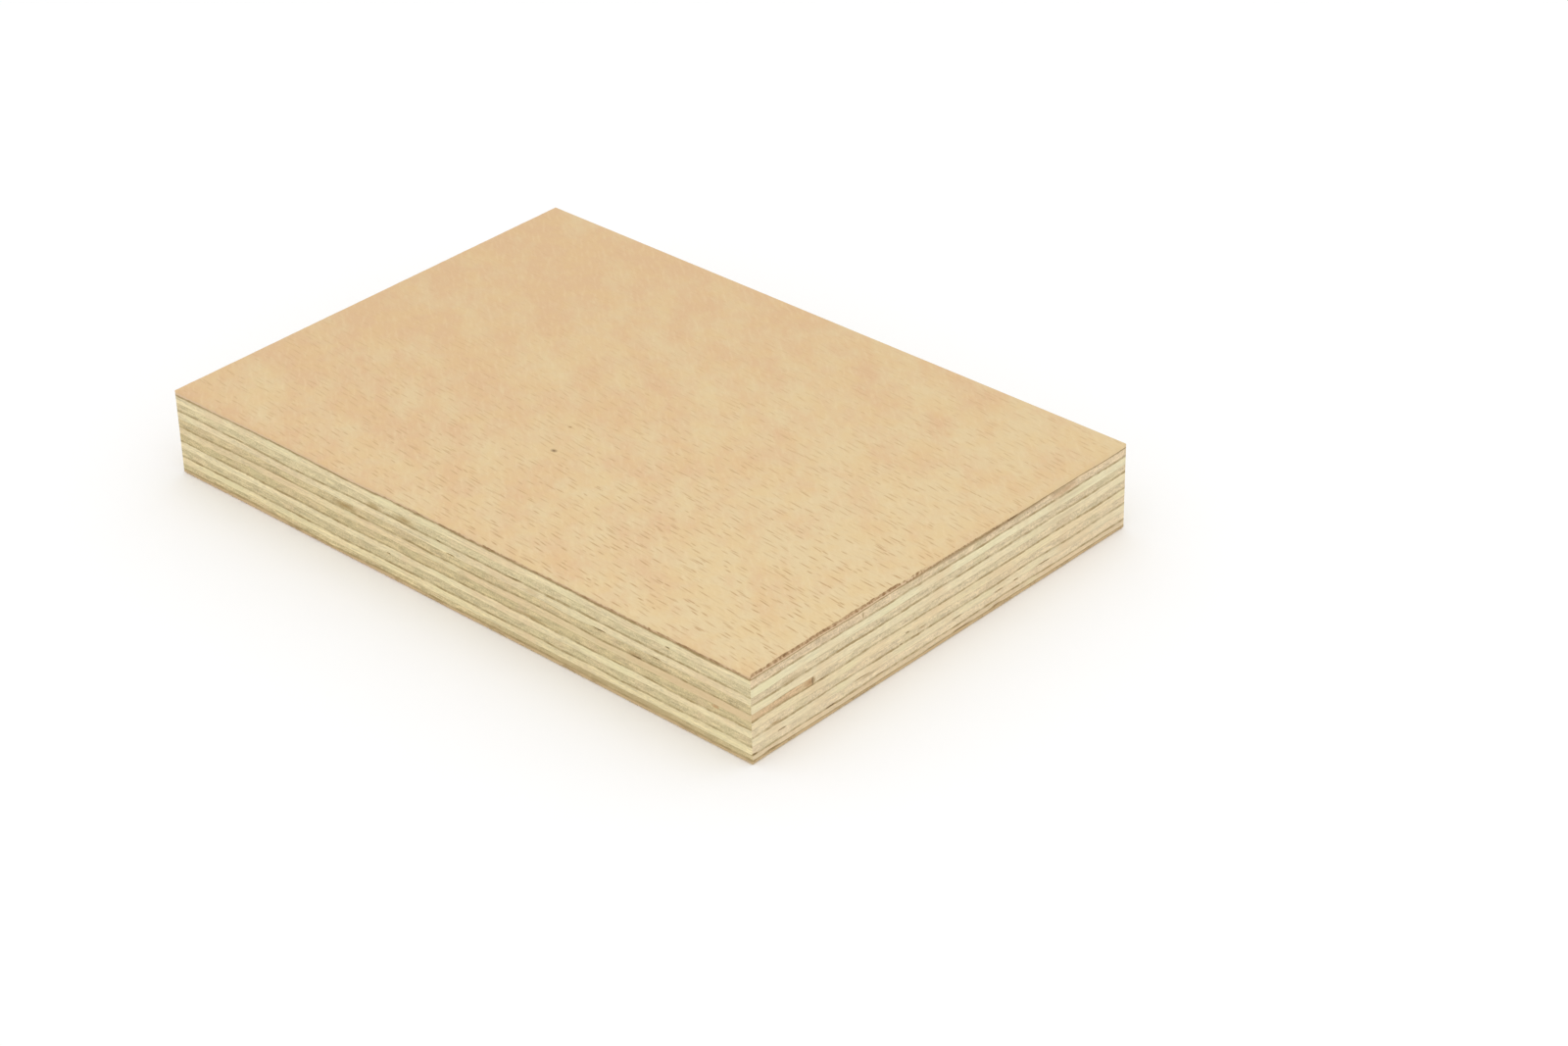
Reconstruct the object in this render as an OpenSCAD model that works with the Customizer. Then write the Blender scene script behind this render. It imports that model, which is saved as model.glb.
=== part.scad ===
// Beech-faced plywood, a sawn piece of an 18 mm panel.
// Rotary-cut veneers are glued in a stack with their grain turned by a
// quarter from one ply to the next, between a thin face and a thin back.
// X runs along the face grain, Y across it, and Z from the back to the face.
// The origin is the middle of the back.

/* [Panel] */
// Length of the piece, along the face grain
panel_length = 147; // [60:1:2440]
// Width of the piece, across the face grain
panel_width = 100; // [50:1:1220]

/* [Veneers] */
// Thickness of the beech face veneer
face_veneer_t = 1.0; // [0.5:0.1:1.5]
// Thickness of the first long ply, which carries the face veneer
top_ply_t = 1.7; // [0.8:0.1:3.2]
// Thickness of each cross ply in the core
cross_ply_t = 1.7; // [0.8:0.1:3.2]
// Thickness of each long ply in the core
long_ply_t = 1.6; // [0.8:0.1:3.2]
// Number of times a cross ply and a long ply follow each other in the core
core_pairs = 4; // [2:1:8]
// Thickness of the last cross ply, which carries the back veneer
bottom_ply_t = 1.1; // [0.8:0.1:3.2]
// Thickness of the back veneer
back_veneer_t = 1.0; // [0.5:0.1:1.5]

/* [Core joint] */
// Number of the long ply that is laid in two strips, counted from the face
jointed_ply = 3; // [2:1:3]
// Width of the narrow strip of that ply, at the front edge
edge_strip_w = 15; // [6:0.5:30]
// Gap left open where the two strips meet
joint_gap = 0.2; // [0.1:0.05:1]

/* [Edges] */
// Radius of the sanded arris round the face and round the back
arris_r = 0.45; // [0.1:0.05:0.45]

/* [Hidden] */
$fn = 48;

// Long plies and cross plies are counted from the face down.
ply_count = core_pairs + 1;
pair_t = cross_ply_t + long_ply_t;
core_t = top_ply_t + core_pairs * pair_t + bottom_ply_t;
core_top_z = back_veneer_t + core_t;

function long_name(i) = str("long_ply_", i);
function cross_name(i) = str("cross_ply_", i);
function long_thickness(i) = i == 1 ? top_ply_t : long_ply_t;
function cross_thickness(i) = i == ply_count ? bottom_ply_t : cross_ply_t;

// Undersides of the plies: long ply 1 lies right under the face veneer.
function long_z(i) = core_top_z - top_ply_t - (i - 1) * pair_t;
function cross_z(i) = long_z(i) - cross_thickness(i);

// Section of a thin veneer, with both corners of its outer side rounded.
module veneer_section(width, thickness) {
    hw = width / 2;
    translate([-hw, 0]) square([width, thickness - arris_r]);
    translate([-hw + arris_r, 0]) square([width - 2 * arris_r, thickness]);
    for (side = [-1, 1])
        translate([side * (hw - arris_r), thickness - arris_r]) circle(arris_r);
}

// Outer veneer with a sanded arris on all four sides: its section drawn
// along the length and its section drawn across the width, where both meet.
module outer_veneer(thickness) {
    intersection() {
        rotate([90, 0, 90])
            linear_extrude(panel_length, center = true) veneer_section(panel_width, thickness);
        rotate([90, 0, 0])
            linear_extrude(panel_width, center = true) veneer_section(panel_length, thickness);
    }
}

// Sawn veneer of the core, from one end of the panel to the other.
module core_veneer(y_from, y_to, thickness) {
    translate([-panel_length / 2, y_from, 0])
        cube([panel_length, y_to - y_from, thickness]);
}

module face_veneer() {
    color("burlywood") translate([0, 0, core_top_z]) outer_veneer(face_veneer_t);
}

module back_veneer() {
    color("tan")
        translate([0, 0, back_veneer_t]) mirror([0, 0, 1]) outer_veneer(back_veneer_t);
}

// A ply with its grain along the panel. The jointed one stops short of the edge strip.
module long_ply(i) {
    strip_and_gap = i == jointed_ply ? edge_strip_w + joint_gap : 0;
    color("palegoldenrod")
        translate([0, 0, long_z(i)])
            core_veneer(-panel_width / 2 + strip_and_gap, panel_width / 2, long_thickness(i));
}

// A ply with its grain across the panel.
module cross_ply(i) {
    color("darkkhaki")
        translate([0, 0, cross_z(i)])
            core_veneer(-panel_width / 2, panel_width / 2, cross_thickness(i));
}

// The narrow strip that makes up the width of the jointed ply.
module edge_strip() {
    color("peru")
        translate([0, 0, long_z(jointed_ply)])
            core_veneer(-panel_width / 2, -panel_width / 2 + edge_strip_w, long_thickness(jointed_ply));
}

face_veneer();
for (i = [1:ply_count]) {
    long_ply(i);
    cross_ply(i);
}
edge_strip();
back_veneer();
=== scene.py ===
# A sawn piece of beech-faced plywood lying on its back: a thin beech veneer on each side and poplar
# veneers between them, each turned a quarter from the last, as the press, saw and sander leave them.
import math

import bmesh
import bpy
from mathutils import Matrix, Vector, noise


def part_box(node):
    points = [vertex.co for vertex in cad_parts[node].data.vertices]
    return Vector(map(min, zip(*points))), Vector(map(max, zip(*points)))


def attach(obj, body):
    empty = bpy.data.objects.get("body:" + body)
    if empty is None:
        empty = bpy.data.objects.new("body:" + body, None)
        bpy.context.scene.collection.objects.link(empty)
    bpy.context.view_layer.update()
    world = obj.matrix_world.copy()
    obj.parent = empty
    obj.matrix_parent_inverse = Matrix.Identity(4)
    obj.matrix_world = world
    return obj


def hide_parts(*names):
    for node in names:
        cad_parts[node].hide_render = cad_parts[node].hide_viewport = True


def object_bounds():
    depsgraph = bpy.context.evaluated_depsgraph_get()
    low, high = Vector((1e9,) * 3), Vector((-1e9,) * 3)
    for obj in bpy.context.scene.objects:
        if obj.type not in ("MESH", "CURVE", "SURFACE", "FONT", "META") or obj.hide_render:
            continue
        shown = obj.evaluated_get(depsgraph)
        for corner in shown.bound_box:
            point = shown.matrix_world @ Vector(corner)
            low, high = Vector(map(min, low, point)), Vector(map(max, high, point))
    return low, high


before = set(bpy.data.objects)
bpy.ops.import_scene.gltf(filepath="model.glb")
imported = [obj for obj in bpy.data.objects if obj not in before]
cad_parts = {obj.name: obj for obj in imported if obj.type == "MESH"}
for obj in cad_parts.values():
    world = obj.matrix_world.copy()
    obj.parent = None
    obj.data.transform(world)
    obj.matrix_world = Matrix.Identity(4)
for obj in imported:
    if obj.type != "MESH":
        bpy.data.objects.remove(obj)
cad_low, cad_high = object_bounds()

# Back veneer
# The lowest layer is a thin sheet of beech peeled from a turning log, with its grain along the piece.
# It is glued under the core and sanded with the rest of the panel, which rounds its lower arris.
# Sizes and places are in millimetres, here and in the sections below.
MM = 0.001
HALF_LENGTH = cad_high.x / MM
HALF_WIDTH = cad_high.y / MM
FACE_TOP = cad_high.z / MM
# Places closer than TOUCH count as one. The arris is rounded by sanding, the upright corners by wear.
TOUCH = 0.01
ARRIS = 0.45
ARRIS_STEPS = 4
CORNER_WEAR = 0.35
# The mesh is fine on the sawn edges and in the rings beside them, and coarse in the middle of a sheet.
ROW = 0.18
COLUMN = 0.3
RINGS = (0.3, 0.3, 0.6)
RIM = 1.1
CELL = 3.5
# The saw leaves a fine relief of its teeth on the edges, and the press leaves the glue lines wavy.
SAWN_BAND = 0.2
SAW_RELIEF = 0.08
SAW_TOOTH = Vector((0.9, 0.9, 0.5))
PRESS_WAVE = 0.7
WAVE_SIZE = Vector((14, 14, 3))
SMOOTH_ANGLE = math.radians(35)
# Glue lines that the press left open: on the ends or the long sides, the ply above, the place along
# the edge, the reach to each side and the depth. A gap ends GAP_REACH inward and GAP_HEIGHT above and
# below its line, and is painted dark inside, as painted shade, where it is as deep as GAP_DARK.
GAP_REACH = 1.2
GAP_HEIGHT = 0.16
GAP_DARK = 0.2
GAPS = [
    ("end", "long_ply_5", -30.5, 1.3, 0.36),
    ("end", "long_ply_5", -49.2, 0.9, 0.24),
    ("end", "long_ply_5", -17.5, 1.8, 0.18),
    ("end", "cross_ply_4", -42.5, 1.2, 0.30),
    ("end", "cross_ply_4", -22.5, 2.6, 0.18),
    ("end", "cross_ply_4", 2.6, 1.6, 0.27),
    ("end", "cross_ply_4", 14.0, 1.6, 0.24),
    ("end", "cross_ply_4", 18.8, 0.9, 0.24),
    ("end", "cross_ply_4", 26.5, 2.6, 0.24),
    ("end", "long_ply_4", -12.2, 0.5, 0.24),
    ("end", "long_ply_4", 16.5, 1.1, 0.24),
    ("end", "cross_ply_3", -10.5, 0.5, 0.30),
    ("end", "long_ply_3", -32.8, 1.1, 0.24),
    ("end", "long_ply_2", 10.7, 0.9, 0.24),
    ("end", "face_veneer", 13.2, 0.9, 0.24),
    ("end", "face_veneer", 17.5, 1.8, 0.36),
    ("end", "cross_ply_5", -45.0, 2.0, 0.14),
    ("end", "cross_ply_5", 4.0, 3.0, 0.21),
    ("end", "cross_ply_5", 13.5, 1.6, 0.18),
    ("side", "long_ply_1", 54.5, 0.5, 0.36),
    ("side", "long_ply_2", 38.0, 2.0, 0.30),
    ("side", "long_ply_2", 51.5, 1.5, 0.21),
    ("side", "long_ply_2", 1.2, 1.4, 0.24),
    ("side", "cross_ply_2", 47.0, 1.4, 0.30),
    ("side", "cross_ply_1", -1.8, 0.7, 0.30),
    ("side", "cross_ply_1", 17.8, 2.4, 0.21),
    ("side", "long_ply_4", -15.5, 0.6, 0.30),
]
GLUE_AND_SHADOW_BROWN = "#97804f"
GAP_SHADE_BROWN = "#8d7347"


def pick(piece, kind, test):
    """In edit mode, leaves selected only the edges or faces that pass the test."""
    bpy.ops.mesh.select_mode(type=kind)
    bpy.ops.mesh.select_all(action="DESELECT")
    mesh = bmesh.from_edit_mesh(piece.data)
    for item in mesh.edges if kind == "EDGE" else mesh.faces:
        if test(item):
            item.select_set(True)
    mesh.select_flush_mode()
    bmesh.update_edit_mesh(piece.data)


def divide(piece, axis, step, shortest, chosen):
    """Cuts the chosen edges that run along an axis and are longer than the shortest into equal steps."""
    def passes(edge):
        first, last = [vertex.co for vertex in edge.verts]
        run = last - first
        straight = abs(run[axis]) > 0.999 * run.length
        return straight and run.length > shortest * MM and chosen((first + last) / 2)

    pick(piece, "EDGE", passes)
    longest = max(e.calc_length() for e in bmesh.from_edit_mesh(piece.data).edges if e.select)
    bpy.ops.mesh.subdivide(number_cuts=round(longest / (step * MM)) - 1)


def note(piece, name, value_at):
    """Stores a number for each vertex, worked out from its place in millimetres."""
    values = [value_at(vertex.co / MM) for vertex in piece.data.vertices]
    piece.data.attributes.new(name, "FLOAT", "POINT").data.foreach_set("value", values)


def push(piece, name, weight_at, height, direction, cloud=None):
    """Moves each vertex by a height times the weight of its place, from 0 to 1.
    Where a cloud size is given, the move also follows cloudy noise of that size, up and down."""
    group = piece.vertex_groups.new(name=name)
    for vertex in piece.data.vertices:
        weight = weight_at(vertex.co / MM)
        if weight > 0:
            group.add([vertex.index], weight, "REPLACE")
    shift = piece.modifiers.new(name, "DISPLACE")
    shift.vertex_group = name
    shift.direction = direction
    shift.strength = height * MM
    shift.mid_level = 0.5 if cloud else 0
    if cloud:
        ruler = bpy.data.objects.new("ruler", None)
        bpy.context.collection.objects.link(ruler)
        ruler.scale = cloud * MM
        bpy.context.view_layer.update()
        shift.texture = bpy.data.textures.new(name, "CLOUDS")
        shift.texture.noise_scale = 1
        shift.texture.noise_depth = 4
        shift.texture_coords = "OBJECT"
        shift.texture_coords_object = ruler
    bpy.ops.object.modifier_apply(modifier=name)
    if cloud:
        bpy.data.objects.remove(ruler)


def gap_depth(place, edge, gaps):
    """How deep a glue line lies open at a place on the ends or on the long sides.
    The left end and the rear side have the gaps of the right end and the front side, turned by half."""
    if edge == "end":
        inward = HALF_LENGTH - abs(place.x)
        run = math.copysign(1, place.x) * place.y
    else:
        inward = HALF_WIDTH - abs(place.y)
        run = -math.copysign(1, place.y) * place.x
    if inward > GAP_REACH:
        return 0
    depths = [0]
    for height, along, reach, depth in gaps[edge]:
        depths.append(depth * (1 - ((run - along) / reach) ** 2 - ((place.z - height) / GAP_HEIGHT) ** 2))
    return max(depths) * (1 - inward / GAP_REACH)


def corner_wear(place, edge):
    """How far the upright corners are rubbed back at a place on the ends or the long sides."""
    from_end = HALF_LENGTH - SAW_RELIEF / 2 - abs(place.x)
    from_side = HALF_WIDTH - SAW_RELIEF / 2 - abs(place.y)
    inward, along = (from_end, from_side) if edge == "end" else (from_side, from_end)
    if inward > TOUCH or along > CORNER_WEAR:
        return 0
    if along < TOUCH:
        return CORNER_WEAR * (1 - math.sqrt(0.5))
    return CORNER_WEAR - math.sqrt(CORNER_WEAR ** 2 - (CORNER_WEAR - along) ** 2)


def cut_veneer(node, sanded=None):
    """A veneer of the stack, closed all round, with fine rows and columns on its four sawn edges.
    A side that is sanded, the top or the bottom, has a round arris."""
    low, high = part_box(node)
    relief = Vector((SAW_RELIEF / 2, SAW_RELIEF / 2, 0)) * MM
    bpy.ops.object.select_all(action="DESELECT")
    bpy.ops.mesh.primitive_cube_add(size=1, location=(low + high) / 2, scale=high - low - 2 * relief)
    piece = bpy.context.object
    piece.name = node + "_sheet"
    piece.data.name = node + "_sheet"
    bpy.ops.object.transform_apply()
    bpy.ops.object.mode_set(mode="EDIT")
    if sanded:
        outer = high.z if sanded == "top" else low.z
        pick(piece, "EDGE", lambda e: all(abs(v.co.z - outer) < TOUCH * MM for v in e.verts))
        bpy.ops.mesh.bevel(offset=ARRIS * MM, segments=ARRIS_STEPS, affect="EDGES")
    divide(piece, 2, ROW, ROW, lambda middle: True)
    pick(piece, "FACE", lambda f: abs(f.normal.z) > 0.99)
    for width in RINGS:
        bpy.ops.mesh.inset(thickness=width * MM, use_individual=True)
    for axis in (0, 1):
        divide(piece, axis, CELL, 3 * CELL, lambda middle: True)
    for axis in (0, 1):
        across = 1 - axis
        divide(piece, axis, COLUMN, CELL / 2,
               lambda middle: min(middle[across] - low[across], high[across] - middle[across]) < RIM * MM)
    bpy.ops.object.mode_set(mode="OBJECT")
    return piece


def press(piece, node, sanded=None):
    """Notes how far the glue lines are, opens their gaps and lets the press bend them up and down."""
    bottom, top = [corner.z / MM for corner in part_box(node)]
    gaps = {"end": [], "side": []}
    for edge, ply_above, along, reach, depth in GAPS:
        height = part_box(ply_above)[0].z / MM
        if min(abs(height - bottom), abs(height - top)) < TOUCH:
            gaps[edge].append((height, along, reach, depth))

    def gap(place):
        return max(gap_depth(place, "end", gaps), gap_depth(place, "side", gaps)) / GAP_DARK

    def sunk(place, edge):
        return gap_depth(place, edge, gaps) + corner_wear(place, edge)

    note(piece, "below_glue", lambda place: FACE_TOP if sanded == "top" else top - place.z)
    note(piece, "above_glue", lambda place: FACE_TOP if sanded == "bottom" else place.z - bottom)
    note(piece, "gap", gap)
    push(piece, "right", lambda place: place.x > 0 and sunk(place, "end"), -1, "X")
    push(piece, "left", lambda place: place.x < 0 and sunk(place, "end"), 1, "X")
    push(piece, "front", lambda place: place.y < 0 and sunk(place, "side"), 1, "Y")
    push(piece, "rear", lambda place: place.y > 0 and sunk(place, "side"), -1, "Y")
    flat = {"top": top, "bottom": bottom}.get(sanded)
    push(piece, "wave", lambda place: abs(place.z - flat) / (top - bottom) if sanded else 1,
         PRESS_WAVE, "Z", WAVE_SIZE)


def saw(piece, ends, sides):
    """Roughens the sawn edges by the share of the saw's relief that their grain takes.
    The shading is smoothed after it."""
    push(piece, "ends", lambda place: (HALF_LENGTH - abs(place.x) < SAWN_BAND) * ends,
         SAW_RELIEF, "X", SAW_TOOTH)
    push(piece, "sides", lambda place: (HALF_WIDTH - abs(place.y) < SAWN_BAND) * sides,
         SAW_RELIEF, "Y", SAW_TOOTH)
    bpy.ops.object.shade_smooth_by_angle(angle=SMOOTH_ANGLE)


def linear(hex_colour, times=1):
    """An sRGB hex colour as the linear RGBA that a shader takes, lightened or darkened by a factor."""
    channels = [int(hex_colour[i:i + 2], 16) / 255 for i in (1, 3, 5)]
    return [times * (c / 12.92 if c <= 0.04045 else ((c + 0.055) / 1.055) ** 2.4) for c in channels] + [1]


def add(tree, kind, inputs, **settings):
    """Adds a node, sets it up, gives each input a value or a link, and returns its outputs.
    A colour Mix takes its share at 0 and its two colours at 6 and 7, and gives the result at 2."""
    made = tree.nodes.new("ShaderNode" + kind)
    for key, value in settings.items():
        setattr(made, key, value)
    for socket, value in inputs.items():
        if isinstance(value, bpy.types.NodeSocket):
            tree.links.new(value, made.inputs[socket])
        else:
            made.inputs[socket].default_value = value
    return made.outputs


def raw_wood(name):
    """A new material for bare, matt wood, with its shader and the place on the piece in millimetres.
    The scale of a pattern there is one over its size."""
    material = bpy.data.materials.new(name)
    material.use_nodes = True
    tree = material.node_tree
    shader = tree.nodes["Principled BSDF"]
    shader.inputs["IOR"].default_value = 1.5
    shader.inputs["Specular IOR Level"].default_value = 0.25
    place = add(tree, "TexCoord", {})["Object"]
    mm = add(tree, "VectorMath", {0: place, 1: (1000, 1000, 1000)}, operation="MULTIPLY")[0]
    return material, tree, shader, mm


def finish_wood(tree, shader, body, height, depth, rough):
    """Gives the shader its colour, and a bump and a roughness that follow the same height."""
    tree.links.new(body, shader.inputs["Base Color"])
    bump = add(tree, "Bump", {"Height": height, "Strength": 1, "Distance": depth * MM})[0]
    tree.links.new(bump, shader.inputs["Normal"])
    matt = add(tree, "MapRange", {"Value": height, "From Min": 0.3, "From Max": 0.7,
                                  "To Min": rough + 0.1, "To Max": rough - 0.05})[0]
    tree.links.new(matt, shader.inputs["Roughness"])


def glue_shadow_and_gap_shade(tree, mm, body, below, above, least):
    """Darkens wood below and above its glue lines by a width and a strength, partly for the glue and
    partly as painted shadow under a ply that stands proud, and darkens open gaps inside as painted shade.
    The lines fade in patches to the least share of their strength."""
    patch = add(tree, "TexNoise", {"Vector": mm, "Scale": 1 / 3.5, "Detail": 5, "Roughness": 0.7})[0]
    patch = add(tree, "MapRange", {"Value": patch, "From Min": 0.36, "From Max": 0.6, "To Min": least})[0]
    ragged = add(tree, "TexNoise", {"Vector": mm, "Scale": 1 / 1.1, "Detail": 5, "Roughness": 0.6})[0]
    ragged = add(tree, "Math", {0: ragged, 1: 0.5}, operation="SUBTRACT")[0]
    for name, (width, strength) in (("below_glue", below), ("above_glue", above)):
        away = add(tree, "Attribute", {}, attribute_name=name)["Fac"]
        away = add(tree, "Math", {0: ragged, 1: width, 2: away}, operation="MULTIPLY_ADD")[0]
        line = add(tree, "MapRange", {"Value": away, "From Min": width, "From Max": 0.55 * width,
                                      "To Max": strength})[0]
        line = add(tree, "Math", {0: line, 1: patch}, operation="MULTIPLY")[0]
        body = add(tree, "Mix", {0: line, 6: body, 7: linear(GLUE_AND_SHADOW_BROWN)}, data_type="RGBA")[2]
    # Open gaps are painted dark inside as painted shade, darker where they are deeper.
    gap = add(tree, "Attribute", {}, attribute_name="gap")["Fac"]
    gap = add(tree, "Math", {0: ragged, 1: 0.8, 2: gap}, operation="MULTIPLY_ADD")[0]
    gap = add(tree, "MapRange", {"Value": gap, "From Min": 0.25, "From Max": 0.8, "To Max": 0.8})[0]
    return add(tree, "Mix", {0: gap, 6: body, 7: linear(GAP_SHADE_BROWN)}, data_type="RGBA")[2]


def stained_and_shaded(tree, mm, body, spots):
    """Colours the wood in ragged ovals, mostly stains and some painted shade, each given by its middle,
    its half sizes and its colour.
    """
    ragged = add(tree, "TexNoise", {"Vector": mm, "Scale": 1 / 1.4, "Detail": 4})[0]
    uneven = add(tree, "MapRange", {"Value": ragged, "From Min": 0.35, "From Max": 0.65, "To Min": 0.55})[0]
    for middle, half_sizes, colour in spots:
        away = add(tree, "VectorMath", {0: mm, 1: middle}, operation="SUBTRACT")[0]
        away = add(tree, "VectorMath", {0: away, 1: half_sizes}, operation="DIVIDE")[0]
        reach = add(tree, "VectorMath", {0: away}, operation="LENGTH")["Value"]
        reach = add(tree, "Math", {0: ragged, 1: 1.2, 2: reach}, operation="MULTIPLY_ADD")[0]
        spot_share = add(tree, "MapRange", {"Value": reach, "From Min": 1.6, "From Max": 0.8})[0]
        spot_share = add(tree, "Math", {0: spot_share, 1: uneven}, operation="MULTIPLY")[0]
        body = add(tree, "Mix", {0: spot_share, 6: body, 7: linear(colour)}, data_type="RGBA")[2]
    return body


def beech_figure(tree, mm, rosy, cream):
    """The ground of the beech: clouds from rosy to cream that lean across the grain, yellower patches
    and pale, silky streaks of painted sheen."""
    lean = (0, 0, math.radians(-38))
    wide = add(tree, "Mapping", {"Vector": mm, "Rotation": lean, "Scale": (15, 8, 15)},
               vector_type="TEXTURE")[0]
    cloud = add(tree, "TexNoise", {"Vector": wide, "Scale": 1, "Detail": 6, "Roughness": 0.66})[0]
    drift = add(tree, "VectorMath", {0: mm, 1: (0.0014, -0.0006, 0)}, operation="DOT_PRODUCT")["Value"]
    cloud = add(tree, "Math", {0: cloud, 1: drift}, operation="ADD")[0]
    figure = add(tree, "MapRange", {"Value": cloud, "From Min": 0.37, "From Max": 0.63})[0]
    body = add(tree, "Mix", {0: figure, 6: linear(rosy), 7: linear(cream)}, data_type="RGBA")[2]
    tint = add(tree, "TexNoise", {"Vector": mm, "Scale": 1 / 5, "Detail": 4, "Roughness": 0.6})[0]
    tint = add(tree, "MapRange", {"Value": tint, "From Min": 0.42, "From Max": 0.62, "To Max": 0.38})[0]
    body = add(tree, "Mix", {0: tint, 6: body, 7: linear("#e0c18a")}, data_type="RGBA")[2]
    # Pale streaks across the grain are painted sheen, a highlight put into the colour.
    close = add(tree, "Mapping", {"Vector": mm, "Rotation": lean, "Scale": (3.2, 0.8, 1)},
                vector_type="TEXTURE")[0]
    painted_sheen = add(tree, "TexNoise", {"Vector": close, "Scale": 1, "Detail": 3})[0]
    painted_sheen = add(tree, "MapRange", {"Value": painted_sheen, "From Min": 0.5, "From Max": 0.75, "To Max": 0.3})[0]
    return add(tree, "Mix", {0: painted_sheen, 6: body, 7: linear("#ecd6ab")}, data_type="RGBA")[2]


def ray_flecks(tree, mm, cell, half, offset, sparse):
    """Ray flecks along the grain, one in each cell, of chance length, slant and boldness."""
    spread = add(tree, "VectorMath", {0: mm, 1: (1 / cell[0], 1 / cell[1], 0), 2: (offset, offset, 0)},
                 operation="MULTIPLY_ADD")[0]
    spot = add(tree, "TexVoronoi", {"Vector": spread, "Scale": 1}, voronoi_dimensions="2D")
    chance = add(tree, "SeparateColor", {0: spot["Color"]})
    away = add(tree, "VectorMath", {0: spread, 1: spot["Position"]}, operation="SUBTRACT")[0]
    away = add(tree, "VectorMath", {0: away, 1: (cell[0] / half[0], cell[1] / half[1], 0)},
               operation="MULTIPLY")[0]
    away = add(tree, "SeparateXYZ", {0: away})
    stretch = add(tree, "Math", {0: chance[0], 1: 0.5}, operation="ADD")[0]
    along = add(tree, "Math", {0: away[0], 1: stretch}, operation="DIVIDE")[0]
    along = add(tree, "Math", {0: along}, operation="ABSOLUTE")[0]
    slant = add(tree, "Math", {0: chance[2], 1: 0.2}, operation="ADD")[0]
    across = add(tree, "Math", {0: slant, 1: away[0], 2: away[1]}, operation="MULTIPLY_ADD")[0]
    across = add(tree, "Math", {0: across}, operation="ABSOLUTE")[0]
    length = add(tree, "MapRange", {"Value": along, "From Min": 1.0, "From Max": 0.3})[0]
    width = add(tree, "MapRange", {"Value": across, "From Min": 1.0, "From Max": 0.1})[0]
    shape = add(tree, "Math", {0: length, 1: width}, operation="MULTIPLY")[0]
    bold = add(tree, "Math", {0: chance[1], 1: sparse}, operation="POWER")[0]
    return add(tree, "Math", {0: shape, 1: bold}, operation="MULTIPLY")[0]


def beech_flecks(tree, mm):
    """The beech's ray flecks, bold ones over faint ones, on its flat side and not on its edges."""
    bold = ray_flecks(tree, mm, cell=(5.4, 1.25), half=(1.6, 0.23), offset=0.0, sparse=1.3)
    more = ray_flecks(tree, mm, cell=(4.4, 1.1), half=(1.3, 0.21), offset=17.3, sparse=1.6)
    faint = add(tree, "VectorMath", {0: mm, 1: (1 / 1.9, 1 / 0.45, 0)}, operation="MULTIPLY")[0]
    faint = add(tree, "TexNoise", {"Vector": faint, "Scale": 1, "Detail": 2, "Roughness": 0.6})[0]
    faint = add(tree, "MapRange", {"Value": faint, "From Min": 0.6, "From Max": 0.85, "To Max": 0.3})[0]
    fleck = add(tree, "Math", {0: bold, 1: more}, operation="MAXIMUM")[0]
    fleck = add(tree, "Math", {0: fleck, 1: faint}, operation="MAXIMUM")[0]
    facing = add(tree, "SeparateXYZ", {0: add(tree, "NewGeometry", {})["Normal"]})[2]
    facing = add(tree, "Math", {0: facing}, operation="ABSOLUTE")[0]
    flat = add(tree, "MapRange", {"Value": facing, "From Min": 0.85, "From Max": 0.97})[0]
    return add(tree, "Math", {0: fleck, 1: flat}, operation="MULTIPLY")[0]


def sawn_and_torn(tree, mm, body, cut, torn_dark, torn_light):
    """Colours the sawn edge of the beech and what is torn on it, and gives the torn wood's splinters."""
    splinter = add(tree, "VectorMath", {0: mm, 1: (1 / 1.6, 1 / 0.7, 1 / 0.6)}, operation="MULTIPLY")[0]
    splinter = add(tree, "TexNoise", {"Vector": splinter, "Scale": 1, "Detail": 4, "Roughness": 0.65})[0]
    ragged = add(tree, "Math", {0: splinter, 1: 0.5}, operation="SUBTRACT")[0]
    sawn = add(tree, "Attribute", {}, attribute_name="sawn")["Fac"]
    sawn = add(tree, "Math", {0: ragged, 1: 1.5, 2: sawn}, operation="MULTIPLY_ADD")[0]
    sawn = add(tree, "MapRange", {"Value": sawn, "From Min": 0.3, "From Max": 0.7})[0]
    body = add(tree, "Mix", {0: sawn, 6: body, 7: linear(cut)}, data_type="RGBA")[2]
    tone = add(tree, "MapRange", {"Value": splinter, "From Min": 0.38, "From Max": 0.64})[0]
    brown = add(tree, "Mix", {0: tone, 6: linear(torn_dark), 7: linear(torn_light)}, data_type="RGBA")[2]
    torn = add(tree, "Attribute", {}, attribute_name="torn")["Fac"]
    torn = add(tree, "Math", {0: ragged, 1: -1.1, 2: torn}, operation="MULTIPLY_ADD")[0]
    torn = add(tree, "MapRange", {"Value": torn, "From Min": 0.4, "From Max": 0.7})[0]
    body = add(tree, "Mix", {0: torn, 6: body, 7: brown}, data_type="RGBA")[2]
    return body, add(tree, "Math", {0: torn, 1: splinter}, operation="MULTIPLY")[0]


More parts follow.
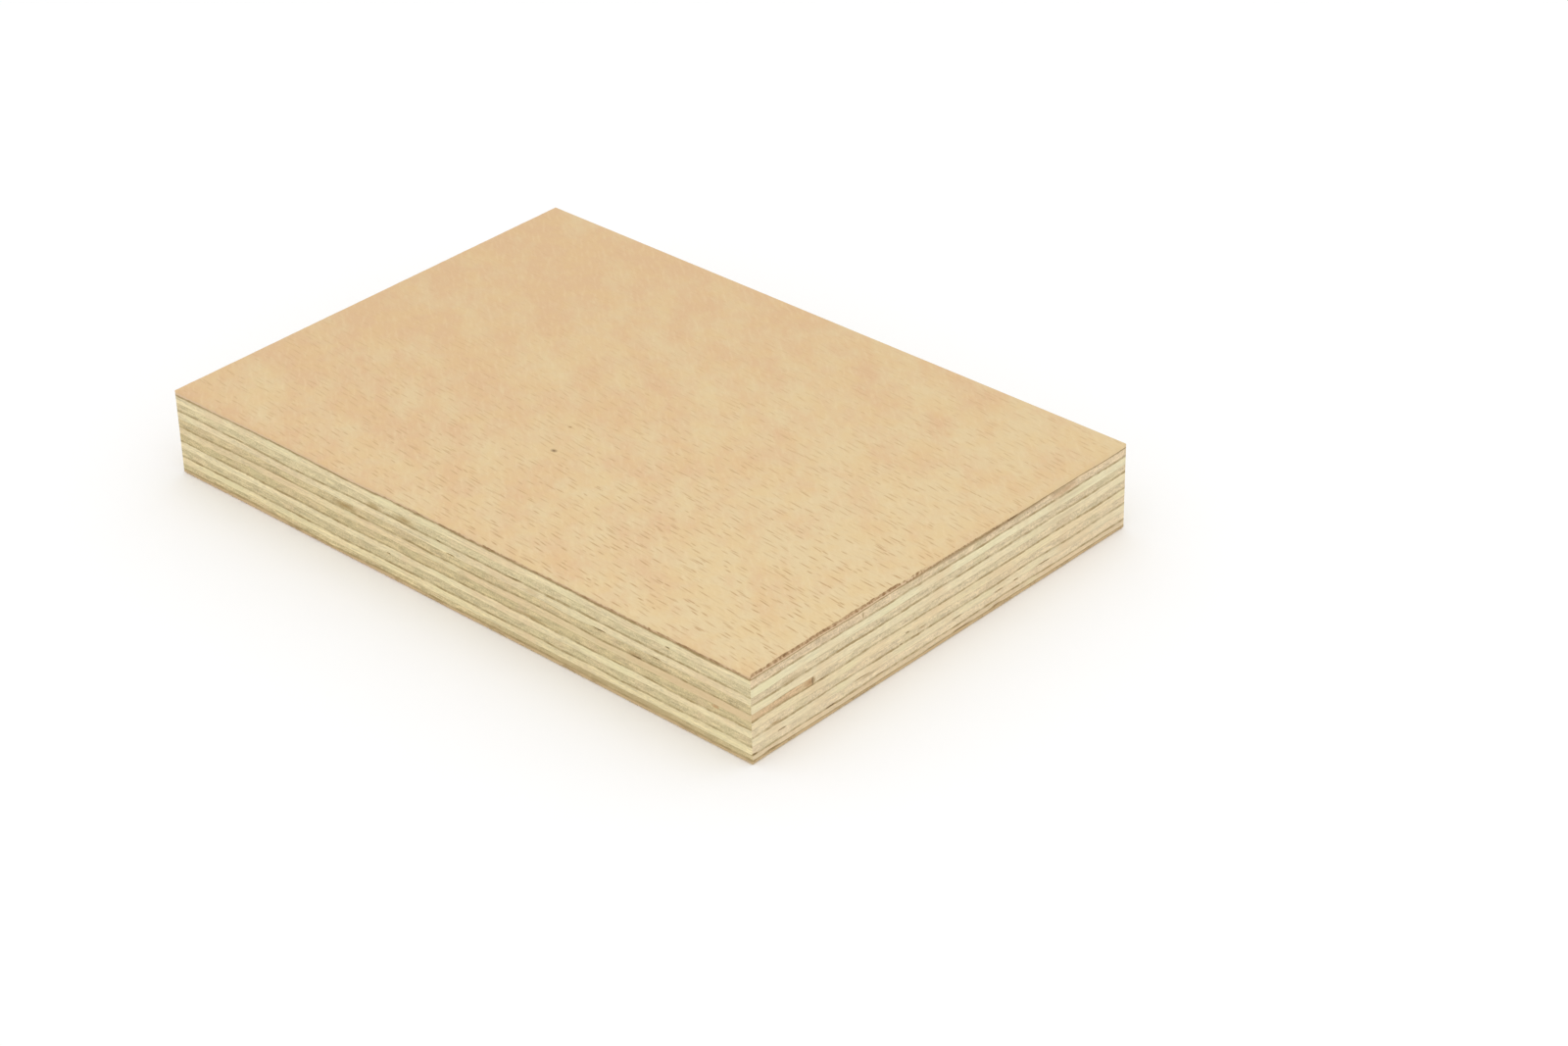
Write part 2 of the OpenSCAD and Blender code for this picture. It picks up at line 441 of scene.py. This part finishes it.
def sanded_beech(name, rosy, cream, cut, torn_dark, torn_light, spots):
    """Rotary-cut beech: warm and cloudy, with a painted silky sheen and brown ray flecks, and rough and
    brown where torn.
    """
    material, tree, shader, mm = raw_wood(name)
    body = beech_figure(tree, mm, rosy, cream)
    # Pores and flecks are clearest near the right front corner. Away from it the wood is darkened as
    # painted shade, for light that falls off toward the left and the rear.
    clear = add(tree, "VectorMath", {0: mm, 1: (0.64, -1, 0)}, operation="DOT_PRODUCT")["Value"]
    clear = add(tree, "MapRange", {"Value": clear, "From Min": -44, "From Max": 68, "To Min": 0.15})[0]
    painted_falloff_shade = add(tree, "MapRange", {"Value": clear, "From Min": 1, "From Max": 0.15, "To Max": 0.2})[0]
    body = add(tree, "Mix", {0: painted_falloff_shade, 6: body, 7: linear("#c8a87c")}, data_type="RGBA")[2]
    # Real beech pores are under 0.1 mm wide. They are drawn 0.3 mm wide, so that they show.
    pores = add(tree, "VectorMath", {0: mm, 1: (1 / 2.2, 1 / 0.3, 1 / 0.3)}, operation="MULTIPLY")[0]
    pores = add(tree, "TexNoise", {"Vector": pores, "Scale": 1, "Detail": 2})[0]
    grain = add(tree, "MapRange", {"Value": pores, "From Min": 0.5, "From Max": 0.75, "To Max": 0.22})[0]
    grain = add(tree, "Math", {0: grain, 1: clear}, operation="MULTIPLY")[0]
    body = add(tree, "Mix", {0: grain, 6: body, 7: linear("#cfa97a")}, data_type="RGBA")[2]
    fleck = add(tree, "Math", {0: beech_flecks(tree, mm), 1: clear}, operation="MULTIPLY")[0]
    body = add(tree, "Mix", {0: fleck, 6: body, 7: linear("#ba966a")}, data_type="RGBA")[2]
    body = stained_and_shaded(tree, mm, body, spots)
    body, splinters = sawn_and_torn(tree, mm, body, cut, torn_dark, torn_light)
    body = glue_shadow_and_gap_shade(tree, mm, body, below=(0.28, 0.6), above=(0.28, 0.95), least=0.7)
    sunk = add(tree, "Math", {0: fleck, 1: -0.6, 2: pores}, operation="MULTIPLY_ADD")[0]
    height = add(tree, "Math", {0: splinters, 1: 3.0, 2: sunk}, operation="MULTIPLY_ADD")[0]
    finish_wood(tree, shader, body, height, depth=0.03, rough=0.5)
    return material


def ramp(value, start, end):
    """0 at the start, 1 at the end, a straight line between and no further."""
    return min(max((value - start) / (end - start), 0), 1)


def back_sawn(place):
    """1 on the sawn edge of the back, 0 on its sanded side, with a ragged line between."""
    line = 0.3 + 0.1 * noise.noise((place.x / 0.9, place.y / 0.9, 3.1))
    return ramp(place.z, line - 0.1, line + 0.1)


def back_torn(place):
    """Where the saw has bruised the edge of the back brown."""
    bruise = 0.35 + 1.1 * noise.noise((place.x / 3, place.y / 3, place.z / 0.5))
    return back_sawn(place) * min(max(bruise, 0), 1)


back = cut_veneer("back_veneer", "bottom")
note(back, "sawn", back_sawn)
note(back, "torn", back_torn)
press(back, "back_veneer", "bottom")
saw(back, ends=0.8, sides=0.6)
back.data.materials.append(sanded_beech("sanded_beech_back", rosy="#d6b186", cream="#dbc596", cut="#ccb288",
                                        torn_dark="#ac9268", torn_light="#c9b188", spots=[]))
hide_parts("back_veneer")
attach(back, "root")

# Core plies
# Ten poplar veneers, laid crosswise in turn, one of them in two strips. The saw cuts along the grain of
# some, which stay pale and smooth, and across the grain of others, which open into dull, speckled end
# grain that drinks the glue. The glue line under each end-grain ply is drawn darker, partly for the glue
# and partly as painted shadow that the end grain casts.
RIGHT = HALF_LENGTH
FRONT = -HALF_WIDTH
# The share of the saw's relief that side grain and end grain take.
SIDE_GRAIN = 0.4
END_GRAIN = 1


def poplar_side_grain(name, ground, contrast, spots):
    """Poplar sawn along its grain: pale cream, with faint straight streaks, some rosy and some greenish."""
    material, tree, shader, mm = raw_wood(name)
    along = add(tree, "VectorMath", {0: mm, 1: (1 / 14, 1 / 14, 1 / 0.4)}, operation="MULTIPLY")[0]
    streak = add(tree, "TexNoise", {"Vector": along, "Scale": 1, "Detail": 4, "Roughness": 0.65})[0]
    # Real poplar fibres are far finer than 0.1 mm. They are drawn 0.22 mm wide, so that they show.
    short = add(tree, "VectorMath", {0: mm, 1: (1 / 1.1, 1 / 1.1, 1 / 0.22)}, operation="MULTIPLY")[0]
    fibre = add(tree, "TexNoise", {"Vector": short, "Scale": 1, "Detail": 3, "Roughness": 0.7})[0]
    mixed = add(tree, "Math", {0: streak, 1: fibre}, operation="ADD")[0]
    tone = add(tree, "MapRange", {"Value": mixed, "From Min": 0.72, "From Max": 1.28})[0]
    dark = linear(ground, 1 - contrast)
    light = linear(ground, 1 + 0.8 * contrast)
    body = add(tree, "Mix", {0: tone, 6: dark, 7: light}, data_type="RGBA")[2]
    drift = add(tree, "TexNoise", {"Vector": mm, "Scale": 1 / 9, "Detail": 3})[0]
    rosy = add(tree, "MapRange", {"Value": drift, "From Min": 0.52, "From Max": 0.72, "To Max": 0.6})[0]
    body = add(tree, "Mix", {0: rosy, 6: body, 7: linear("#e0c59d")}, data_type="RGBA")[2]
    green = add(tree, "MapRange", {"Value": drift, "From Min": 0.48, "From Max": 0.28, "To Max": 0.6})[0]
    body = add(tree, "Mix", {0: green, 6: body, 7: linear("#e4dbae")}, data_type="RGBA")[2]
    body = stained_and_shaded(tree, mm, body, spots)
    # The dark line at the top of the side grain is partly glue and partly painted shadow under the end
    # grain above it.
    body = glue_shadow_and_gap_shade(tree, mm, body, below=(0.27, 0.9), above=(0.1, 0.2), least=0.3)
    finish_wood(tree, shader, body, mixed, depth=0.04, rough=0.6)
    return material


def peeling_cracks(tree, mm):
    """Fine cracks that the peeling knife opened, which lean through the ply and come in stretches."""
    parts = add(tree, "SeparateXYZ", {0: mm})
    run = add(tree, "Math", {0: parts[0], 1: parts[1]}, operation="ADD")[0]
    leaning = add(tree, "Math", {0: parts[2], 1: 0.55, 2: run}, operation="MULTIPLY_ADD")[0]
    stroke = add(tree, "CombineXYZ", {0: leaning, 1: parts[2]})[0]
    stroke = add(tree, "VectorMath", {0: stroke, 1: (1 / 0.45, 1 / 2.2, 0)}, operation="MULTIPLY")[0]
    stroke = add(tree, "TexNoise", {"Vector": stroke, "Scale": 1, "Detail": 2})[0]
    crack = add(tree, "MapRange", {"Value": stroke, "From Min": 0.6, "From Max": 0.78, "To Max": 0.25})[0]
    stretch = add(tree, "TexNoise", {"Vector": mm, "Scale": 1 / 7, "Detail": 2})[0]
    stretch = add(tree, "MapRange", {"Value": stretch, "From Min": 0.42, "From Max": 0.6})[0]
    return add(tree, "Math", {0: crack, 1: stretch}, operation="MULTIPLY")[0]


def poplar_end_grain(name, ground, contrast, spots):
    """Poplar sawn across its grain: dull, speckled with open pores and cracked by the peeling knife."""
    material, tree, shader, mm = raw_wood(name)
    # Real poplar pores are under 0.1 mm across. They are drawn 0.32 mm across, so that they show.
    speck = add(tree, "TexNoise", {"Vector": mm, "Scale": 1 / 0.32, "Detail": 3, "Roughness": 0.65})[0]
    band = add(tree, "VectorMath", {0: mm, 1: (1 / 3, 1 / 3, 1 / 0.5)}, operation="MULTIPLY")[0]
    blotch = add(tree, "TexNoise", {"Vector": band, "Scale": 1, "Detail": 4, "Roughness": 0.65})[0]
    mixed = add(tree, "Math", {0: speck, 1: 0.8, 2: blotch}, operation="MULTIPLY_ADD")[0]
    tone = add(tree, "MapRange", {"Value": mixed, "From Min": 0.67, "From Max": 1.13})[0]
    dark = linear(ground, 1 - contrast)
    light = linear(ground, 1 + 0.8 * contrast)
    body = add(tree, "Mix", {0: tone, 6: dark, 7: light}, data_type="RGBA")[2]
    drift = add(tree, "TexNoise", {"Vector": mm, "Scale": 1 / 5, "Detail": 4})[0]
    rosy = add(tree, "MapRange", {"Value": drift, "From Min": 0.52, "From Max": 0.7, "To Max": 0.4})[0]
    body = add(tree, "Mix", {0: rosy, 6: body, 7: linear("#d8be99")}, data_type="RGBA")[2]
    green = add(tree, "MapRange", {"Value": drift, "From Min": 0.48, "From Max": 0.3, "To Max": 0.35})[0]
    body = add(tree, "Mix", {0: green, 6: body, 7: linear("#c6bc90")}, data_type="RGBA")[2]
    crack = peeling_cracks(tree, mm)
    body = add(tree, "Mix", {0: crack, 6: body, 7: linear("#94794c")}, data_type="RGBA")[2]
    # Small pits where the saw plucked out fibres, thick in some stretches and few in others. They are
    # painted dark, as painted shade in the hollows.
    pit = add(tree, "VectorMath", {0: mm, 1: (1 / 0.6, 1 / 0.6, 1 / 0.35)}, operation="MULTIPLY")[0]
    pit = add(tree, "TexNoise", {"Vector": pit, "Scale": 1, "Detail": 3, "Roughness": 0.6})[0]
    pit = add(tree, "MapRange", {"Value": pit, "From Min": 0.58, "From Max": 0.72, "To Max": 0.4})[0]
    plucked = add(tree, "TexNoise", {"Vector": mm, "Scale": 1 / 4, "Detail": 3})[0]
    plucked = add(tree, "MapRange", {"Value": plucked, "From Min": 0.4, "From Max": 0.6, "To Min": 0.1})[0]
    pit = add(tree, "Math", {0: pit, 1: plucked}, operation="MULTIPLY")[0]
    body = add(tree, "Mix", {0: pit, 6: body, 7: linear(GLUE_AND_SHADOW_BROWN)}, data_type="RGBA")[2]
    body = stained_and_shaded(tree, mm, body, spots)
    # The dark line at the foot of the end grain is partly glue and partly painted shadow along the glue
    # line under it.
    body = glue_shadow_and_gap_shade(tree, mm, body, below=(0.14, 0.2), above=(0.27, 0.8), least=0.3)
    height = add(tree, "Math", {0: crack, 1: -0.6, 2: speck}, operation="MULTIPLY_ADD")[0]
    finish_wood(tree, shader, body, height, depth=0.025, rough=0.72)
    return material


# From the lowest ply up: the colour and contrast of its side grain, then of its end grain.
core = {
    "cross_ply_5": ("#dfcaa6", 0.2, "#d8c699", 0.36),
    "long_ply_5": ("#e7d7ab", 0.26, "#e6d3b0", 0.22),
    "cross_ply_4": ("#e6d6b1", 0.18, "#d2c298", 0.3),
    "long_ply_4": ("#e8d8ae", 0.26, "#dfcca8", 0.28),
    "cross_ply_3": ("#e7d4ac", 0.18, "#cfbd90", 0.32),
    "long_ply_3": ("#e3d1a7", 0.26, "#dccaa6", 0.3),
    "edge_strip": ("#dfca9f", 0.26, "#d3b58d", 0.3),
    "cross_ply_2": ("#e7d7b1", 0.18, "#d1be92", 0.34),
    "long_ply_2": ("#e3d1a8", 0.28, "#d9c7a3", 0.3),
    "cross_ply_1": ("#e7dbb5", 0.15, "#d6c69c", 0.28),
    "long_ply_1": ("#e4d3a9", 0.26, "#ddc7a4", 0.32),
}
# Stains of sap, glue and saw burn on the right end and the front side, some of them partly painted
# shade at a joint or a seam: middle, half sizes and colour.
stains_and_shade = {
    "cross_ply_5": [((40, FRONT, 1.5), (45, 3, 1.5), "#b6a278")],
    "long_ply_5": [((RIGHT, -21, 3.4), (1, 4, 0.3), "#b69e78")],
    "long_ply_4": [((RIGHT, -44.3, 5.8), (1, 1.8, 0.4), "#ab8d62"),
                   ((RIGHT, -6.8, 6.3), (1, 1.2, 0.4), "#ad9169")],
    "cross_ply_3": [((65.3, FRONT, 8.3), (1.1, 1, 0.4), "#b57f52"),
                    ((21, FRONT, 7.4), (4.5, 2, 0.4), "#b09666")],
    # At the open joint near y = -35 on the right end, long_ply_3 and edge_strip are darker beside the slit,
    # partly a real stain and partly painted shade at the joint.
    "long_ply_3": [((RIGHT, -34.6, 9.5), (1, 0.5, 1.2), "#a98d63")],
    "edge_strip": [((RIGHT, -35.6, 9.5), (1, 1.8, 1.2), "#b08c62"),
                   ((RIGHT, -43, 10.3), (1, 6, 0.3), "#a88c64"),
                   ((60, FRONT, 9.5), (50, 3, 2), "#d7bd92")],
    "cross_ply_2": [((RIGHT, 32, 11.0), (1, 10, 0.8), "#d2bf9a"),
                    ((-26.5, FRONT, 11.1), (4.5, 3, 0.9), "#a68b58"),
                    ((46.5, FRONT, 10.6), (2.6, 2, 0.6), "#af9367")],
    "long_ply_2": [((21.5, FRONT, 12.8), (2.2, 2, 0.9), "#d2bb91"),
                   ((RIGHT, -40, 12.5), (2, 4.5, 0.7), "#bda883")],
    "cross_ply_1": [((RIGHT, 34, 14.4), (1, 9, 0.8), "#d3c39d"),
                    ((-18.5, FRONT, 14.2), (2.6, 3, 0.8), "#b29a69"),
                    ((-10.5, FRONT, 14.4), (3.4, 3, 0.9), "#aa9160")],
    "long_ply_1": [((RIGHT, 32, 16.2), (2, 5, 1), "#c19f79"),
                   # The thin dark line on long_ply_1 under the face, along the right end, is partly the
                   # seam and partly painted shade under the face's arris.
                   ((RIGHT, 12, 17.05), (1, 30, 0.6), "#92734b"),
                   ((RIGHT, -22, 16.1), (1, 0.4, 0.9), "#a48c64")],
}
for node, (side_colour, side_contrast, end_colour, end_contrast) in core.items():
    lies_across = node.startswith("cross")
    ply = cut_veneer(node)
    press(ply, node)
    if lies_across:
        saw(ply, ends=SIDE_GRAIN, sides=END_GRAIN)
    else:
        saw(ply, ends=END_GRAIN, sides=SIDE_GRAIN)
    spots = stains_and_shade.get(node, [])
    ply.data.materials.append(poplar_side_grain(node + "_side_grain", side_colour, side_contrast, spots))
    ply.data.materials.append(poplar_end_grain(node + "_end_grain", end_colour, end_contrast, spots))
    for face in ply.data.polygons:
        on_end = abs(face.normal.x) > abs(face.normal.y)
        face.material_index = 0 if on_end == lies_across else 1
    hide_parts(node)
    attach(ply, "root")

# Face veneer
# The show side is a sheet of peeled beech, glued on last and sanded to a silky flat. The saw has torn
# splinters from its arris along the front half of the right end. The torn wood is brown, and the seam
# behind them is brown, partly a dark seam and partly painted shade under the arris.
PIN_KNOTS = [((-3.2, -19.6, FACE_TOP), (0.85, 0.65, 1), "#664a29"),
             ((-7.1, -11.6, FACE_TOP), (0.5, 0.4, 1), "#a37b4c")]
# The tear takes up to TEAR_DEPTH off within TEAR_WIDTH of the arris, and is brown from TEAR_BROWN on.
# The left end has the share LEFT_TEAR of it, and the rest of the arris is only worn.
TEAR_WIDTH = 0.52
TEAR_DEPTH = 0.5
TEAR_BROWN = 0.16
LEFT_TEAR = 0.4
WORN_END = 0.06
WORN_SIDE = 0.05


def at_end(place):
    """Whether a place on the sheet is nearer to an end than to a long side."""
    return HALF_LENGTH - abs(place.x) < HALF_WIDTH - abs(place.y)


def torn_away(place):
    """How deep splinters are torn out at a place near the face's arris."""
    if at_end(place):
        worst = ramp(place.y, -4, -14) if place.x > 0 else LEFT_TEAR
        strength = WORN_END + (TEAR_DEPTH - WORN_END) * worst
        inward = HALF_LENGTH - abs(place.x)
        along, seed, middle = place.y, 5.2, 0.2
    else:
        strength = WORN_SIDE
        inward = HALF_WIDTH - abs(place.y)
        along, seed, middle = place.x, 8.3, 0
    chips = noise.noise((along / 4.5, seed, 0))
    splinters = noise.noise((along / 1.1, seed, 2.7))
    ragged = 0.7 + 0.6 * chips + 0.5 * splinters
    close = 1 - math.hypot(inward, FACE_TOP - place.z - middle) / TEAR_WIDTH
    return strength * min(max(ragged, 0), 1) * max(close, 0)


def face_sawn(place):
    """1 on the sawn edge of the face, 0 on its sanded side, which rolls over the arris."""
    roll = 0.35 + 0.4 * ramp(place.y, -12, 12) if at_end(place) else 0.45
    roll += 0.12 * noise.noise((place.x / 0.7, place.y / 0.7, 6.6))
    return ramp(FACE_TOP - place.z, roll - 0.1, roll + 0.1)


def face_torn(place):
    """Brown where splinters are gone from the ends, along the seam behind them and on the long sides.
    The brown along the seam is partly painted shade under the arris.
    """
    if not at_end(place):
        return face_sawn(place) * (0.2 + 0.6 * ramp(place.x, -25, 5))
    start = 0.4 + 0.3 * ramp(place.y, 8, 24)
    seam = ramp(FACE_TOP - place.z, start, start + 0.22) * ramp(place.y, -14, -5) * ramp(place.y, 52, 26)
    patches = noise.noise((place.y / 3, 4.4, 0))
    splinters = noise.noise((place.y / 0.9, 7.1, 0))
    seam *= 1.3 + 0.6 * patches + 0.7 * splinters
    return min(1, max(torn_away(place) / TEAR_BROWN, seam))


face_sheet = cut_veneer("face_veneer", "top")
note(face_sheet, "sawn", face_sawn)
note(face_sheet, "torn", face_torn)
push(face_sheet, "torn_away", torn_away, -1, "NORMAL")
press(face_sheet, "face_veneer", "top")
saw(face_sheet, ends=0.8, sides=0.6)
face_sheet.data.materials.append(sanded_beech("sanded_beech_face", rosy="#dbb78d", cream="#dfc89c",
                                              cut="#d6b995", torn_dark="#94724a", torn_light="#ceae85",
                                              spots=PIN_KNOTS))
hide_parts("face_veneer")
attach(face_sheet, "root")

# Studio
# A white floor, a wide soft box overhead and a white room, which leave almost no shadow. The floor has
# a matt white paint, which is bright and shows no gloss.
FLOOR_SIDE = 6000 * MM
SOFT_BOX_SIDE = 1200 * MM
SOFT_BOX_PLACE = Vector((250, -100, 1000)) * MM
bpy.ops.object.select_all(action="DESELECT")
bpy.ops.mesh.primitive_plane_add(size=FLOOR_SIDE, location=(0, 0, 0))
floor = bpy.context.object
floor.name = "floor"
paint = bpy.data.materials.new("matt_white_paint")
paint.use_nodes = True
coat = paint.node_tree.nodes["Principled BSDF"].inputs
coat["Base Color"].default_value = linear("#fbfbfb")
coat["Roughness"].default_value = 0.9
coat["IOR"].default_value = 1.5
coat["Specular IOR Level"].default_value = 0.25
floor.data.materials.append(paint)

scene = bpy.context.scene
scene.view_settings.view_transform = "Standard"
world = bpy.data.worlds.new("white_room")
world.use_nodes = True
walls = world.node_tree.nodes["Background"].inputs
walls["Color"].default_value = (1, 1, 1, 1)
walls["Strength"].default_value = 0.97
scene.world = world

bpy.ops.object.light_add(type="AREA", location=SOFT_BOX_PLACE)
soft_box = bpy.context.object
soft_box.name = "soft_box"
soft_box.data.size = SOFT_BOX_SIDE
soft_box.data.energy = 1.5

# The camera's place and lens are fitted to the seven corners that show in the photo.
PHOTO_WIDTH_PX = 1600
FOCAL_PX = 3795.7
AZIMUTH = math.radians(43.103)
ELEVATION = math.radians(31.410)
ROLL = math.radians(-1.253)
DISTANCE = 684.25 * MM
TARGET = Vector((25.13, 10.58, 0)) * MM
lens = bpy.data.cameras.new("camera")
lens.sensor_width = 36
lens.lens = lens.sensor_width * FOCAL_PX / PHOTO_WIDTH_PX
camera = bpy.data.objects.new("camera", lens)
scene.collection.objects.link(camera)
turn = Matrix.Rotation(AZIMUTH, 4, "Z") @ Matrix.Rotation(math.pi / 2 - ELEVATION, 4, "X")
turn = turn @ Matrix.Rotation(ROLL, 4, "Z")
camera.matrix_world = Matrix.Translation(TARGET) @ turn @ Matrix.Translation((0, 0, DISTANCE))
scene.camera = camera
